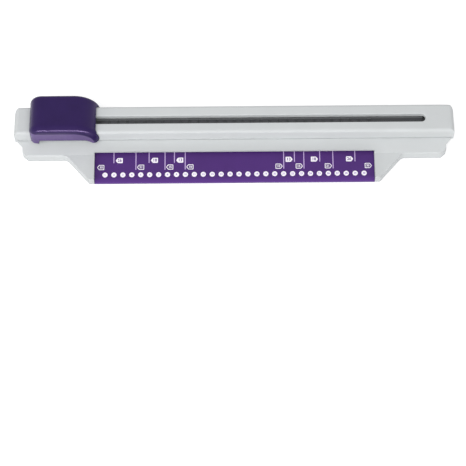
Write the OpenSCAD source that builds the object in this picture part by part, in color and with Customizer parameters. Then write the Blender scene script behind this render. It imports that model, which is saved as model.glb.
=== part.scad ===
// Slide-type paper punch: a head slides along a slotted rail and drives a row of punch pins.
// +X runs along the rail, +Y away from the user, +Z up. The origin is on the table, under the middle.

/* [Sheet and holes] */
// Widest sheet that lies between the apron borders
sheet_w = 297; // [290:1:300]
// Play of the sheet between the borders, both sides together
sheet_play = 1; // [0.5:0.1:1.4]
// Number of punch pins
hole_n = 30; // [24:2:30]
// Distance from hole to hole
pitch = 9.5; // [9.4:0.05:9.55]
// Diameter of a punched hole
hole_d = 5.5; // [4:0.1:5.8]
// Distance from the sheet's edge to the hole centres
edge_dist = 6.5; // [6:0.1:7]
// Gap that takes the sheets
paper_gap = 1.7; // [1.2:0.1:2.4]

/* [Case] */
// Length of the raised rail block
rail_l = 468; // [460:1:480]
// Length of the lower body under the rail block
body_l = 452; // [448:1:456]
// Depth of the apron in front of the wings
apron_d = 28.5; // [27:0.5:32]
// Depth of the deck between the wing front and the rail block
deck_d = 17.1; // [16.5:0.1:18.5]
// Depth of the rail block
rail_d = 33; // [32.5:0.1:34.5]
// Wall thickness of the case
wall = 2.2; // [1.8:0.1:2.4]
// Thickness of the rail block's top wall
rail_top_t = 4.2; // [3.8:0.1:4.4]
// Height of the deck's front edge above the paper plane
deck_over = 3.5; // [3:0.1:4]
// Rise of the deck from its front edge to the rail block
deck_rise = 3.3; // [2.5:0.1:4]
// Rounding of the rail block's long top edges
rail_round = 3; // [1.5:0.1:4]
// Rounding of the rail block's end edges
end_round = 5; // [3:0.1:6]
// Rounding of the rail block's rear corners, seen from above
corner_round = 8; // [6:0.5:9]
// Rounding of the corner between an apron border and its wing
wing_round = 8; // [4:0.5:10]
// Set-back of the paper lip from the wing front
lip_back = 4.2; // [3.5:0.1:5.5]
// Width of an apron border at its front end
border_w = 5.2; // [5:0.1:7]
// How far each border spreads from its front end to the wing
border_flare = 24.3; // [20:0.1:28]
// Height that the feet stand out
foot_out = 1; // [0.8:0.1:1.5]
// Room between the punch stack's end and the case's end wall
bench_room = 11.8; // [10:0.1:13]
// Distance between the frame screws
frame_screw_step = 57; // [50:0.5:57]
// Distance of the rear feet from the body's ends
rear_foot_in = 40; // [36:0.5:44]
// Distance of the wing feet from the body's ends
wing_foot_in = 34; // [32:0.5:36]
// Distance of the wing feet from the wing's front
wing_foot_back = 8; // [7:0.1:9]
// Diameter of a foot
foot_d = 7.4; // [6.4:0.1:7.6]
// Thickness of the base's floor
floor_t = 2; // [1.8:0.1:2.4]

/* [Slot] */
// Width of the rail slot
slot_w = 9.2; // [8.8:0.1:10]
// Length of the rail slot
slot_l = 407.4; // [405:0.1:409]
// Depth from the rail top to the pin heads
slot_depth = 7.8; // [7.6:0.1:8.8]
// Distance of the slot's middle from the rail block's front wall
slot_back = 16.3; // [16:0.1:16.9]
// Chamfer of the slot's rim
slot_rim = 1; // [0.5:0.1:1.2]

/* [Punch stack] */
// How much shorter the die plate is than the bench at each end
die_short = 1; // [0.5:0.1:2]
// Thickness of the die plate
die_t = 2.2; // [2:0.1:3]
// Thickness of the pin guide's floor
guide_t = 3; // [2.8:0.1:4]
// Height of a return spring when its pin is down
spring_short = 2; // [1.9:0.1:3]
// Stroke of a punch pin
stroke = 4; // [3.6:0.1:4.2]
// Thickness of a pin head's lower flange
flange_t = 1.4; // [1.2:0.1:2]
// Height of a pin head's crown above its flange
crown_t = 1.8; // [1.6:0.1:2.2]
// Width of a pin head's flange across the row
flange_w = 8.6; // [8.2:0.1:8.8]
// Width of a pin head's crown across the row
crown_w = 7.2; // [6:0.1:7.4]
// Gap between neighbouring pin heads
head_gap = 0.4; // [0.35:0.05:0.8]
// Thickness of a keeper strip
keeper_t = 1; // [0.8:0.1:1.2]
// Wire diameter of a return spring
wire_d = 0.5; // [0.4:0.05:0.6]

/* [Slider] */
// Length of the slider cap along the rail
cap_l = 74; // [72:0.5:77]
// Depth of the slider cap across the rail
cap_d = 43.8; // [43:0.1:46]
// Height of the slider cap above the rail top
cap_over = 16.2; // [15:0.1:18]
// Height of the slider cap from its feet to its top
cap_h = 27.9; // [26:0.1:29]
// Wall thickness of the slider cap
cap_wall = 2.4; // [2:0.1:2.6]
// Rounding of the slider cap's steep end
cap_r_steep = 13; // [9:0.5:14]
// Rounding of the slider cap's sloping end
cap_r_slope = 27.5; // [24:0.5:27.5]
// Rounding along the cap's front edge
cap_edge_front = 7; // [4:0.1:8]
// Rounding along the cap's rear edge
cap_edge_rear = 4.5; // [3:0.1:5]
// Length of the cap's foot at the steep end
heel_l = 9.5; // [7:0.5:11]
// Length of the cap's foot at the sloping end
toe_l = 6; // [4:0.5:8]
// Rounding of the toe's lower corner
toe_round = 3; // [1:0.5:4]
// How far the cap's sloping end is cut back between its two toes
saddle = 3.9; // [3:0.1:6]
// Height of the arch between the cap's feet
arch_h = 5.7; // [4:0.1:7]
// Length of the carriage's neck
neck_l = 42; // [40:0.5:44]
// Radius of a press roller
roller_r = 4.2; // [4:0.1:4.2]
// How much higher the outer rollers sit than the middle one
roller_step = 2; // [1.5:0.1:2]
// Diameter of a roller axle
axle_d = 3; // [2.5:0.1:3.2]
// Room between the carriage's neck and the slot's end, at the end of the travel
neck_room = 2.7; // [2.2:0.1:3.2]
// How far the carriage's shoe reaches past its neck on each side
shoe_out = 4.5; // [4:0.1:4.8]

/* [Chip tray] */
// Room for chips under the die plate
chip_room = 4.3; // [4.1:0.1:5]
// Width of the tray inside
tray_w = 11.6; // [10:0.1:12]
// Wall thickness of the tray
tray_t = 1.2; // [1:0.1:1.4]
// Width of the tray's side tongues
tongue_w = 1; // [0.8:0.1:1.2]

/* [Clearances] */
// Gap between a moving piece and what it runs past
run_gap = 0.3; // [0.3:0.05:0.4]
// Radial play of a pin or a roller in its hole
bore_play = 0.05; // [0.03:0.01:0.08]
// Gap between fixed pieces that don't touch
fixed_gap = 0.2; // [0.1:0.05:0.25]

/* [Hidden] */
$fn = 64;
eps = 0.05;
screw_d = 2.9;
screw_head_d = 5.6;
screw_head_t = 1.4;
case_screw_l = 7;

function pin_name(k) = str("pin_", k < 10 ? "0" : "", k);

// Depth stations, from the apron's front edge to the cap's rear face
cap_behind = (cap_d - rail_d) / 2;
depth = apron_d + deck_d + rail_d + cap_behind;
front_y = -depth / 2;
wing_y = front_y + apron_d;
lip_y = wing_y + lip_back;
rail_y0 = wing_y + deck_d;
rail_y1 = rail_y0 + rail_d;
row_y = rail_y0 + slot_back;
cap_y = rail_y0 + rail_d / 2;
stop_y = row_y + edge_dist;
inner_y0 = rail_y0 + wall;
inner_y1 = rail_y1 - wall;

// Heights, from the table up through the punch stack to the cap
base_z = foot_out;
part_z = base_z + floor_t;
tray_floor_t = 0.9;
tray_z = base_z + fixed_gap;
chip_z = tray_z + tray_floor_t;
die_z = chip_z + chip_room;
paper_z = die_z + die_t;
guide_z = paper_z + paper_gap;
guide_top = guide_z + guide_t;
spring_h = stroke + spring_short;
flange_z = guide_top + spring_h;
crown_z = flange_z + flange_t;
keeper_z = crown_z + fixed_gap;
head_z = crown_z + crown_t;
rail_z = head_z + slot_depth;
rail_under = rail_z - rail_top_t;
deck_z = paper_z + deck_over;
over_z = deck_z + 0.3;
cap_z = rail_z + cap_over;
cap_foot_z = cap_z - cap_h;

// Lengths
recess_x = (sheet_w + sheet_play) / 2;
border_x = recess_x + border_w;
wing_x = border_x + border_flare;
row_x = (hole_n - 1) * pitch / 2;
head_l = pitch - head_gap;
trough_x = row_x + pitch / 2;
travel = slot_l - neck_l - 2 * neck_room;
slider_x = -travel / 2;
stop_x = slot_l / 2 - neck_room + run_gap;
bumper_l = 6;
bench_x = body_l / 2 - wall - bench_room;
shelf_x = stop_x + bumper_l + 2;
shoulder = 5.5;

function hole_x(k) = (k - 1) * pitch - row_x;
function deck_at(y) = deck_z + deck_rise * (y - wing_y) / deck_d;

// Cuts the corner at p, between the edges to a and b, down to a fillet of radius r
module corner_cut(p, a, b, r) {
    u = (a - p) / norm(a - p);
    v = (b - p) / norm(b - p);
    half = acos(u * v) / 2;
    reach = r / tan(half);
    centre = p + (u + v) / norm(u + v) * r / sin(half);
    clear = 1.05;
    difference() {
        polygon([centre + (p - centre) * clear, centre + (p + u * reach - centre) * clear, centre,
                 centre + (p + v * reach - centre) * clear]);
        translate(centre) circle(r);
    }
}

// A polygon whose corners have the radii given, 0 for a sharp one
module rounded(points, radii) {
    n = len(points);
    difference() {
        polygon(points);
        for (i = [0 : n - 1]) if (radii[i] > 0)
            corner_cut(points[i], points[(i + n - 1) % n], points[(i + 1) % n], radii[i]);
    }
}

// Extrudes a YZ profile along X, from x0 to x1
module along_x(x0, x1) {
    translate([x0, 0, 0]) rotate([90, 0, 90]) linear_extrude(x1 - x0) children();
}

// Extrudes an XZ profile along Y, from y0 to y1
module along_y(y0, y1) {
    translate([0, y1, 0]) rotate([90, 0, 0]) linear_extrude(y1 - y0) children();
}

module box(low, high) {
    translate(low) cube(high - low);
}

module both_sides() {
    children();
    mirror([1, 0, 0]) children();
}

// A bar with round ends, centred on the origin
module stadium(length, width) {
    square([length - width, width], center = true);
    for (s = [-1, 1]) translate([s * (length - width) / 2, 0]) circle(d = width);
}

// Places of the fasteners and feet
case_screw_at = [[body_l / 2 - 8, inner_y1 - 2.6], [body_l / 2 - 19, wing_y + 8.4],
                 [border_x + 2.8, front_y + 22]];
frame_screw_y = inner_y1 - 3.4;
frame_screw_x = [for (k = [0 : 3]) k < 3 ? (k + 0.5) * frame_screw_step : bench_x - 10];
tray_half = tray_w / 2 + tray_t;
foot_at = [[body_l / 2 - rear_foot_in, (row_y + tray_half + run_gap + rail_y1) / 2],
           [body_l / 2 - wing_foot_in, wing_y + wing_foot_back], [border_x - 0.2, front_y + 11]];

// Outline of the case seen from above: the lower body, or the upper shell with its overhanging ends
module plan(length, flare, inset = 0) {
    half = body_l / 2 - inset;
    far = length / 2 - inset;
    bevel = inset * tan(22.5);
    front = [[half + inset - shoulder - bevel, wing_y + inset], [half, wing_y + shoulder + bevel]];
    side = flare ? [[half, rail_y0 - shoulder - 1.5], [far - 2, rail_y0], [far, rail_y0]] : [];
    rear = [[far, rail_y1 - inset]];
    right = concat(front, side, rear);
    left = [for (i = [len(right) - 1 : -1 : 0]) [-right[i].x, right[i].y]];
    corners = [for (p = right) p.y == rail_y1 - inset ? corner_round - inset : 0];
    rounded(concat(right, left), concat(corners, [for (i = [len(corners) - 1 : -1 : 0]) corners[i]]));
}

// YZ section of the case: deck in front, rail block behind
module case_section() {
    rounded(
        [[wing_y, part_z], [wing_y, deck_z], [rail_y0, deck_z + deck_rise], [rail_y0, rail_z],
         [rail_y1, rail_z], [rail_y1, part_z]],
        [0, 1.6, 0, rail_round, rail_round, 0]
    );
}

module case_hollow() {
    polygon([
        [wing_y + wall, part_z - 1], [wing_y + wall, deck_at(wing_y + wall) - wall],
        [inner_y0, deck_at(inner_y0) - wall], [inner_y0, rail_under], [inner_y1, rail_under],
        [inner_y1, part_z - 1]
    ]);
}

// Plan of an apron border; its root reaches back under the deck's rounded front edge
border_root = wall + 0.3;
border_z = deck_z + 0.1;

module border_plan(inset, inner) {
    slant = border_flare / apron_d;
    side = inset * sqrt(1 + slant * slant);
    polygon([
        [inner, front_y + inset], [border_x + slant * inset - side, front_y + inset],
        [wing_x + slant * border_root - side, wing_y + border_root], [inner, wing_y + border_root]
    ]);
    if (inset == 0)
        corner_cut([wing_x, wing_y], [border_x, front_y], [wing_x + border_flare, wing_y], wing_round);
}

module border() {
    difference() {
        translate([0, 0, part_z]) linear_extrude(border_z - part_z) border_plan(0, recess_x - 1);
        translate([0, 0, part_z - 1]) linear_extrude(border_z - wall - part_z + 1)
            border_plan(wall, recess_x + wall);
    }
}

module slot_cut() {
    rim = slot_w / 2 + slot_rim;
    translate([0, row_y, rail_under - 1]) linear_extrude(rail_top_t + 2) stadium(slot_l, slot_w);
    straight = (slot_l - slot_w) / 2;
    along_x(-straight, straight) polygon([
        [row_y - rim, rail_z + eps], [row_y - slot_w / 2, rail_z - slot_rim],
        [row_y + slot_w / 2, rail_z - slot_rim], [row_y + rim, rail_z + eps]
    ]);
    both_sides() translate([straight, row_y, rail_z - slot_rim])
        cylinder(h = slot_rim + eps, r1 = slot_w / 2, r2 = rim);
}

module top_cover() color("#CBCECF") {
    end_x = rail_l / 2;
    side_x = body_l / 2;
    difference() {
        union() {
            intersection() {
                along_x(-end_x, end_x) case_section();
                translate([0, 0, over_z]) linear_extrude(rail_z) plan(rail_l, true);
                along_y(wing_y - 1, rail_y1 + 1) rounded(
                    [[-end_x, over_z], [-end_x, rail_z], [end_x, rail_z], [end_x, over_z]],
                    [0, end_round, end_round, 0]
                );
            }
            intersection() {
                along_x(-side_x, side_x) case_section();
                translate([0, 0, part_z]) linear_extrude(over_z - part_z + 1) plan(body_l, false);
            }
            both_sides() border();
        }
        intersection() {
            along_x(wall - side_x, side_x - wall) case_hollow();
            translate([0, 0, part_z - 1]) linear_extrude(rail_z) plan(body_l, false, wall);
        }
        intersection() {
            box([-end_x, inner_y0, over_z + wall], [end_x, rail_y1, rail_under]);
            translate([0, 0, part_z]) linear_extrude(rail_z) plan(rail_l, true, wall);
        }
        slot_cut();
        groove_z = deck_z + deck_rise;
        box([-end_x - 1, rail_y0 - 0.8, groove_z - 0.6], [end_x + 1, rail_y0 + 0.4, groove_z + 0.4]);
        box([-recess_x, front_y - 1, part_z - 1], [recess_x, lip_y, rail_z]);
        both_sides() border_opening();
        tray_exit();
    }
    difference() {
        both_sides() for (p = case_screw_at) screw_boss(p);
        both_sides() for (p = case_screw_at) translate([p.x, p.y, part_z - 1]) cylinder(h = 6.5, d = 2.2);
    }
}

// Joins the hollow of a border with the hollow of the wing behind it
module border_opening() {
    box([recess_x + wall, wing_y - 1, part_z - 1], [wing_x - 2 * wall, wing_y + wall + 1, deck_z - wall]);
}

// Opening in the right end wall that the chip tray comes through
module tray_exit() {
    box([body_l / 2 - wall - 1, tray_y0 - fixed_gap - 1, part_z - 1],
        [body_l / 2 + 1, tray_y1 + fixed_gap + 1, die_z + fixed_gap]);
}

// A post for a screw, from the base's floor to the roof above it
module screw_boss(p) {
    roof = p.y < wing_y ? deck_z : p.y < rail_y0 ? deck_at(p.y) : over_z + wall;
    translate([p.x, p.y, part_z]) cylinder(h = roof - wall / 2 - part_z, d = 5.6);
}

// Chip tray stations
tray_y0 = row_y - tray_w / 2 - tray_t - tongue_w;
tray_y1 = row_y + tray_w / 2 + tray_t + tongue_w;
tray_x0 = -trough_x - 3;
tray_top = die_z - fixed_gap;
tongue_z = part_z + 0.6;
tongue_t = 1.2;

// Profile of the tray's channel: straight sides with a groove for the tongues
module channel_section(bottom, top) {
    half = tray_w / 2 + tray_t + run_gap;
    translate([row_y - half, bottom]) square([2 * half, top - bottom]);
    translate([row_y - half - tongue_w, tongue_z - run_gap])
        square([2 * (half + tongue_w), tongue_t + 2 * run_gap]);
}

module base() color("#C4C7C9") {
    side_x = body_l / 2;
    bed_front = row_y - tray_w / 2 - tray_t - run_gap - tongue_w - 2;
    difference() {
        union() {
            difference() {
                translate([0, 0, base_z]) linear_extrude(floor_t) {
                    plan(body_l, false);
                    both_sides() border_plan(0, recess_x);
                    translate([-recess_x - 1, plate_step_y + fixed_gap])
                        square([2 * recess_x + 2, wing_y - plate_step_y + 1]);
                }
            }
            box([-bench_x, bed_front, part_z - eps], [bench_x, inner_y1 - 0.4, die_z]);
            for (i = [0 : rib_n - 1]) {
                x = (i / (rib_n - 1) - 0.5) * 2 * (recess_x - rib_in);
                along_x(x - 1, x + 1) ramp_rib();
            }
        }
        along_x(tray_x0 - run_gap, side_x + 1) channel_section(base_z - 1, die_z + 1);
        both_sides() for (p = case_screw_at) {
            translate([p.x, p.y, base_z - 1]) cylinder(h = floor_t + 2, d = screw_d + 0.3);
            translate([p.x, p.y, base_z - 1]) cylinder(h = 1 + screw_head_t, d = screw_head_d + 0.6);
        }
        both_sides() for (x = frame_screw_x)
            translate([x, frame_screw_y, die_z - 4.2]) cylinder(h = 6, d = screw_d - 2 * bore_play - 0.5);
        both_sides() for (p = foot_at)
            translate([p.x, p.y, base_z - 1]) cylinder(h = 2, d = foot_d + 2 * fixed_gap);
    }
}

// Apron plate: a slab whose top runs from the nose up to the die plate
plate_y1 = rail_y0 - 1.3;
plate_t = 1.8;
nose_z = base_z + 2;
plate_step_y = wing_y - 9.6;
plate_slope = (paper_z + 0.1 - nose_z) / (plate_y1 - front_y);
function plate_at(y) = nose_z + plate_slope * (y - front_y);

// Rib of the base that carries the apron plate
rib_n = 9;
rib_in = 12;

module ramp_rib() {
    y0 = plate_step_y + 1;
    y1 = plate_y1 - 0.5;
    polygon([[y0, part_z - eps], [y0, plate_at(y0) - plate_t], [y1, plate_at(y1) - plate_t],
             [y1, part_z - eps]]);
}

module apron_plate() color("#5B3A87") {
    side = recess_x - fixed_gap;
    y0 = front_y + 7;
    y1 = plate_step_y - 1.6;
    cells = 12;
    cell = 2 * side / cells;
    difference() {
        along_x(-side, side) rounded(
            [[front_y, base_z], [front_y, nose_z], [plate_y1, plate_at(plate_y1)],
             [plate_y1, plate_at(plate_y1) - plate_t], [plate_step_y, plate_at(plate_step_y) - plate_t],
             [plate_step_y, base_z]],
            [0, 1.2, 0, 0, 0, 0]
        );
        for (i = [0 : cells - 1]) along_x(-side + i * cell + 0.8, -side + (i + 1) * cell - 0.8)
            polygon([[y0, base_z - 1], [y0, plate_at(y0) - plate_t], [y1, plate_at(y1) - plate_t],
                     [y1, base_z - 1]]);
    }
}

module die_plate() color("#9A9DA1") {
    difference() {
        box([die_short - bench_x, plate_y1 + fixed_gap, die_z],
            [bench_x - die_short, inner_y1 - 0.4, paper_z]);
        for (k = [1 : hole_n]) translate([hole_x(k), row_y, die_z - 1])
            cylinder(h = die_t + 2, d = hole_d + 2 * bore_play);
        both_sides() for (x = frame_screw_x) translate([x, frame_screw_y, die_z - 1])
            cylinder(h = die_t + 2, d = screw_d + 0.3);
    }
}

module paper_stop() color("#8E9195") {
    difference() {
        box([-recess_x - 2, stop_y, paper_z], [recess_x + 2, inner_y1 - 0.4, guide_z]);
        both_sides() for (x = frame_screw_x) translate([x, frame_screw_y, paper_z - 1])
            cylinder(h = paper_gap + 2, d = screw_d + 0.3);
    }
}

guide_half = flange_w / 2 + fixed_gap + 3;
guide_front = row_y - guide_half;
rear_flange_top = guide_z + 2.8;

// Section of the pin guide where the pins are: floor, trough walls and rear flange
module guide_section() {
    trough = flange_w / 2 + fixed_gap;
    difference() {
        polygon([
            [guide_front, guide_z + 1], [guide_front + 1, guide_z], [inner_y1 - 0.4, guide_z],
            [inner_y1 - 0.4, rear_flange_top], [row_y + guide_half, rear_flange_top],
            [row_y + guide_half, keeper_z], [guide_front, keeper_z]
        ]);
        translate([row_y - trough, guide_top]) square([2 * trough, keeper_z]);
    }
}

// A landing that carries on the slot's floor past the row of pins
module landing() {
    x0 = trough_x + 4;
    rear = row_y + guide_half;
    shelf_z = over_z + wall + fixed_gap;
    box([x0, guide_front, guide_z], [bench_x, rear, head_z - run_gap]);
    box([x0, guide_front, shelf_z], [shelf_x, rear, head_z - run_gap]);
    box([x0, row_y, guide_z], [bench_x, inner_y1 - 0.4, rear_flange_top]);
    box([recess_x + 2 + fixed_gap, guide_front, paper_z], [bench_x, inner_y1 - 0.4, guide_z + eps]);
    box([stop_x + bumper_l, guide_front, head_z - 1], [shelf_x, rear, bumper_top]);
}

module pin_guide() color("#2E2F31") {
    difference() {
        union() {
            along_x(-trough_x - 4 - eps, trough_x + 4 + eps) guide_section();
            both_sides() landing();
            both_sides() box([trough_x, guide_front, guide_z],
                [trough_x + 4, row_y + guide_half, keeper_z]);
        }
        for (k = [1 : hole_n]) translate([hole_x(k), row_y, guide_z - 1])
            cylinder(h = guide_t + 2, d = hole_d + 2 * bore_play);
        both_sides() for (x = frame_screw_x) translate([x, frame_screw_y, paper_z - 1])
            cylinder(h = rear_flange_top, d = screw_d + 0.3);
    }
}

// Strip that overlaps the pin flanges on one side of the row: side is -1 in front, 1 behind
module keeper(side) {
    inner = row_y + side * (crown_w / 2 + run_gap);
    outer = row_y + side * guide_half;
    box([-trough_x - 3.8, min(inner, outer), keeper_z],
        [trough_x + 3.8, max(inner, outer), keeper_z + keeper_t]);
}

module keeper_front() color("#C4C7C9") keeper(-1);

module keeper_rear() color("#C4C7C9") keeper(1);

strip_t = 1.2;
strip_z = rail_under - strip_t;
flange_top = strip_z - run_gap;
neck_w = slot_w - 2 * run_gap;
shoe_w = neck_w + 2 * shoe_out;

// Wear strip under the rail top that the carriage's shoe bears on
module rail_strip(side) {
    inner = row_y + side * slot_w / 2;
    outer = row_y + side * (shoe_w / 2 + 1.2);
    box([-shelf_x, min(inner, outer), strip_z], [shelf_x, max(inner, outer), rail_under]);
}

module rail_strip_front() color("#C4C7C9") rail_strip(-1);

module rail_strip_rear() color("#C4C7C9") rail_strip(1);

bumper_top = strip_z - fixed_gap;

module bumper() {
    box([stop_x, guide_front + 1, head_z - run_gap],
        [stop_x + bumper_l, row_y + guide_half - 1, bumper_top]);
}

module bumper_left() color("#232323") mirror([1, 0, 0]) bumper();

module bumper_right() color("#232323") bumper();

// One punch pin: hollow-ground tip, shaft, flange and crowned head
module pin(k) color("#333436") {
    crown_r = 16;
    grind_r = 4.5;
    tip_z = guide_z + fixed_gap;
    translate([hole_x(k), row_y, 0]) {
        difference() {
            translate([0, 0, tip_z]) cylinder(h = flange_z - tip_z + eps, d = hole_d);
            translate([0, 0, tip_z + 0.9 - grind_r]) rotate([90, 0, 0])
                cylinder(h = 20, r = grind_r, center = true);
        }
        box([-head_l / 2, -flange_w / 2, flange_z], [head_l / 2, flange_w / 2, crown_z]);
        intersection() {
            box([-head_l / 2, -crown_w / 2, crown_z - eps], [head_l / 2, crown_w / 2, head_z]);
            translate([0, 0, head_z - crown_r]) rotate([90, 0, 0])
                cylinder(h = 20, r = crown_r, center = true);
        }
    }
}

// Return spring: a round wire wound round the pin from the guide to the flange
spring_turns = 2.5;
spring_rings = 8;
spring_sides = 4;
spring_r = hole_d / 2 + 0.4 + wire_d / 2;
function spring_point(i, j) =
    let (n = spring_turns * spring_rings,
         turn = 360 * i / spring_rings,
         around = 360 * j / spring_sides,
         r = spring_r + wire_d / 2 * cos(around),
         rise = (spring_h - wire_d - 2 * spring_seat) * i / n)
    [r * cos(turn), r * sin(turn), guide_top + spring_seat + wire_d / 2 + rise + wire_d / 2 * sin(around)];
spring_seat = 0.02;

module spring() {
    n = spring_turns * spring_rings;
    s = spring_sides;
    points = [for (i = [0 : n]) for (j = [0 : s - 1]) spring_point(i, j)];
    tube = [for (i = [0 : n - 1]) for (j = [0 : s - 1]) for (f = [0, 1])
        let (a = i * s + j, b = i * s + (j + 1) % s, c = a + s, d = b + s)
        f == 0 ? [a, b, d] : [a, d, c]];
    caps = concat(
        [for (j = [1 : s - 2]) [0, j + 1, j]],
        [for (j = [1 : s - 2]) [n * s, n * s + j, n * s + j + 1]]
    );
    polyhedron(points, concat(tube, caps));
}

module pin_springs() color("#A9ACB0") {
    for (k = [1 : hole_n]) translate([hole_x(k), row_y, 0]) spring();
}

module rubber_feet() color("#2B2B2B") both_sides() for (p = foot_at) translate([p.x, p.y, 0]) {
    cylinder(h = foot_out - 0.4, d1 = foot_d - 1, d2 = foot_d);
    translate([0, 0, foot_out - 0.4]) cylinder(h = 1.4, d = foot_d);
}

// A screw with its head down, the head's lower face at z
module screw(z, length) {
    translate([0, 0, z]) cylinder(h = screw_head_t, d = screw_head_d);
    translate([0, 0, z]) cylinder(h = length, d = 2.1);
}

module case_screws() color("#74777B") both_sides() for (p = case_screw_at)
    translate([p.x, p.y, 0]) screw(base_z, case_screw_l);

module frame_screws() color("#74777B") both_sides() for (x = frame_screw_x)
    translate([x, frame_screw_y, 0]) {
        translate([0, 0, rear_flange_top]) cylinder(h = 1.6, d = screw_head_d);
        translate([0, 0, die_z - 4])
            cylinder(h = rear_flange_top - die_z + 4, d = screw_d - 2 * bore_play - 0.6);
    }

// Slider cap: drums at both ends and a bar between them share one edge rounding
cap_x0 = slider_x - cap_l / 2;
cap_x1 = slider_x + cap_l / 2;

// Roundings of the cap's front and rear edges, inside or outside its wall
function cap_edges(inset) = [0, cap_edge_front - inset, cap_edge_rear - inset, 0];

// Edge profile across the cap: a band of the given height with both top corners rounded
module cap_band(height, inset) {
    half = cap_d / 2 - inset;
    rounded([[-half, 0], [-half, height], [half, height], [half, 0]], cap_edges(inset));
}

// Half of the band, turned about the cap's cross axis
module cap_drum(r, inset) {
    translate([0, cap_y, 0]) rotate([90, 0, 0]) rotate_extrude() rotate([0, 0, -90]) intersection() {
        cap_band(r - inset, inset);
        translate([-cap_d, 0]) square([2 * cap_d, r]);
    }
}

module cap_form(inset, low) {
    steep_x = cap_x0 + cap_r_steep;
    slope_x = cap_x1 - cap_r_slope;
    half = cap_d / 2 - inset;
    intersection() {
        union() {
            translate([0, cap_y, 0]) along_x(steep_x, slope_x) translate([0, low])
                cap_band(cap_z - inset - low, inset);
            translate([steep_x, 0, cap_z - cap_r_steep]) cap_drum(cap_r_steep, inset);
            translate([slope_x, 0, cap_z - cap_r_slope]) cap_drum(cap_r_slope, inset);
            translate([0, cap_y, low]) linear_extrude(cap_z - cap_r_steep - low) rounded(
                [[steep_x + eps, -half], [cap_x0 + inset, -half], [cap_x0 + inset, half],
                 [steep_x + eps, half]],
                cap_edges(inset)
            );
        }
        box([cap_x0 - 1, cap_y - cap_d, low], [cap_x1 + 1, cap_y + cap_d, cap_z + 1]);
    }
}

// Arch between the cap's feet: steep towards the steep end, sloping towards the other
module arch_cut() {
    heel_round = 2;
    instep_round = 8;
    rounded(
        [[cap_x0 + heel_l, cap_foot_z - 1], [cap_x0 + heel_l, cap_foot_z + arch_h],
         [cap_x1 - toe_l - 1.4 * arch_h, cap_foot_z + arch_h], [cap_x1 - toe_l, cap_foot_z - 1]],
        [0, heel_round, instep_round, 0]
    );
    corner_cut([cap_x1, cap_foot_z], [cap_x1, cap_z], [cap_x0, cap_foot_z], toe_round);
}

// Cuts the sloping end back between the toes, over the whole width of the rail
module saddle_cut() {
    near = rail_y0 - 0.6;
    far = rail_y1 + 0.6;
    translate([0, 0, cap_foot_z - 1]) linear_extrude(cap_h + 2) rounded(
        [[cap_x1 + 1, near], [cap_x1 - saddle, near], [cap_x1 - saddle, far], [cap_x1 + 1, far]],
        [0, 4, 4, 0]
    );
}

// Post under the cap's roof that lands on the carriage's neck
neck_screw_x = neck_l / 2 - neck_w / 2 + 1.6;
neck_z = rail_z + 2.7;

module slider_cap() color("#3D2A63") {
    difference() {
        cap_form(0, cap_foot_z);
        cap_form(cap_wall, cap_foot_z - 1);
        box([cap_x0 - 1, rail_y0 - 0.6, cap_foot_z - 1], [cap_x1 + 1, rail_y1 + 0.6, rail_z + 0.6]);
        along_y(cap_y - cap_d, cap_y + cap_d) arch_cut();
        saddle_cut();
    }
    difference() {
        intersection() {
            for (s = [-1, 1]) translate([slider_x + s * neck_screw_x, row_y, neck_z])
                cylinder(h = cap_z - neck_z, d = 7);
            cap_form(cap_wall / 2, cap_foot_z);
        }
        for (s = [-1, 1]) translate([slider_x + s * neck_screw_x, row_y, neck_z - 1])
            cylinder(h = 5.2, d = 2.2);
    }
    for (s = [-1, 1]) box([cap_x0 + cap_r_steep + 2, cap_y + s * cap_d / 4 - 0.8, rail_z + run_gap],
        [cap_x1 - cap_r_slope + 6, cap_y + s * cap_d / 4 + 0.8, cap_z - cap_wall / 2]);
}

// Rollers: the middle one passes just over the pin heads, the outer ones sit higher
roller_w = 5.2;
roller_z = head_z + run_gap + roller_r;
roller_gap_x = 10.5;
roller_at = [[-roller_gap_x, roller_z + roller_step], [0, roller_z],
             [roller_gap_x, roller_z + roller_step]];
window_x = roller_gap_x + roller_r + 0.3;

module carriage() color("#D9D9D4") {
    shoe_z = head_z + 0.5;
    difference() {
        union() {
            translate([slider_x, row_y, shoe_z]) linear_extrude(neck_z - shoe_z) stadium(neck_l, neck_w);
            translate([slider_x, row_y, shoe_z]) linear_extrude(flange_top - shoe_z)
                square([neck_l - 2, shoe_w], center = true);
        }
        box([slider_x - window_x, row_y - roller_w / 2 - run_gap, shoe_z - 1],
            [slider_x + window_x, row_y + roller_w / 2 + run_gap, neck_z + 1]);
        for (p = roller_at) translate([slider_x + p.x, row_y, p.y]) rotate([90, 0, 0])
            cylinder(h = shoe_w + 2, d = axle_d, center = true);
        for (s = [-1, 1]) translate([slider_x + s * neck_screw_x, row_y, shoe_z - 1]) {
            cylinder(h = 20, d = 2.4);
            cylinder(h = 3, d = 4.6);
        }
    }
}

module roller_axles() color("#A6A9AD") for (p = roller_at)
    translate([slider_x + p.x, row_y, p.y]) rotate([90, 0, 0])
        cylinder(h = neck_w - 0.4, d = axle_d, center = true);

module cap_screws() color("#74777B") for (s = [-1, 1])
    translate([slider_x + s * neck_screw_x, row_y, head_z + 0.7]) {
        cylinder(h = 1.8, d = 4.2);
        cylinder(h = neck_z - head_z + 2.8, d = 2.1);
    }

// A press roller: a tyre with chamfered rims, bored for its axle
module roller(p) color("#B4B7BB") translate([slider_x + p.x, row_y, p.y]) rotate([90, 0, 0]) {
    rim = 0.5;
    difference() {
        rotate_extrude() polygon([
            [0, -roller_w / 2], [roller_r - rim, -roller_w / 2], [roller_r, -roller_w / 2 + rim],
            [roller_r, roller_w / 2 - rim], [roller_r - rim, roller_w / 2], [0, roller_w / 2]
        ]);
        cylinder(h = roller_w + 2, d = axle_d + 2 * bore_play, center = true);
    }
}

module roller_left() roller(roller_at[0]);

module roller_main() roller(roller_at[1]);

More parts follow.
